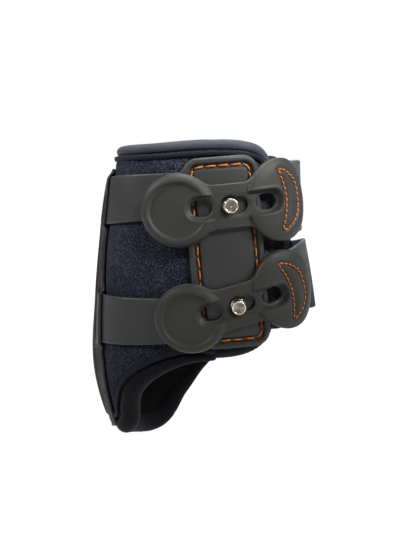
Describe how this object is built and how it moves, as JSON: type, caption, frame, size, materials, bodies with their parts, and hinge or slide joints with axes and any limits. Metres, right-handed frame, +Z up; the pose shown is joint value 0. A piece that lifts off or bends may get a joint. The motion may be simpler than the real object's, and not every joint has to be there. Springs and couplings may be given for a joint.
{
  "type": "fetlock boot",
  "caption": "Padded horse fetlock boot with a moulded rear shell, rolled edges, and elastic straps whose rubber tabs hook over studs on a closure plate.",
  "frame": {"origin": "on the leg's axis, level with the boot's lowest edge", "axes": "+Z up the leg, +X towards the front of the leg, -Y towards the closure side"},
  "size_m": [0.1487, 0.1186, 0.2052],
  "materials": {
    "neoprene": "matte",
    "edge_roll": "matte",
    "binding": "ribbed",
    "foam": "matte",
    "shell": "satin",
    "plate": "satin",
    "stud": "polished",
    "tab": "satin",
    "elastic": "woven"
  },
  "bodies": {
    "wrap": {"neoprene_liner": "neoprene", "top_roll": "edge_roll", "cup_roll": "edge_roll", "top_piping": "edge_roll", "cup_piping": "edge_roll", "closure_edge_binding": "binding", "shell_edge_binding": "binding", "shock_pad": "foam", "rear_shell": "shell", "closure_plate": "plate", "upper_stud": "stud", "lower_stud": "stud", "upper_stud_washer": "stud", "lower_stud_washer": "stud", "upper_strap": "elastic", "lower_strap": "elastic"},
    "upper_closing_tab": {"upper_tab": "tab", "upper_strap_tongue": "elastic"},
    "lower_closing_tab": {"lower_tab": "tab", "lower_strap_tongue": "elastic"}
  },
  "joints": [
    {"name": "upper_tab_release", "type": "slide", "parent": "wrap", "child": "upper_closing_tab", "axis": [0.2624, -0.965, 0.0041], "range_m": [0, 0.02], "stiffness_N_per_m": 200},
    {"name": "lower_tab_release", "type": "slide", "parent": "wrap", "child": "lower_closing_tab", "axis": [0.2392, -0.9683, -0.0715], "range_m": [0, 0.02], "stiffness_N_per_m": 200}
  ]
}
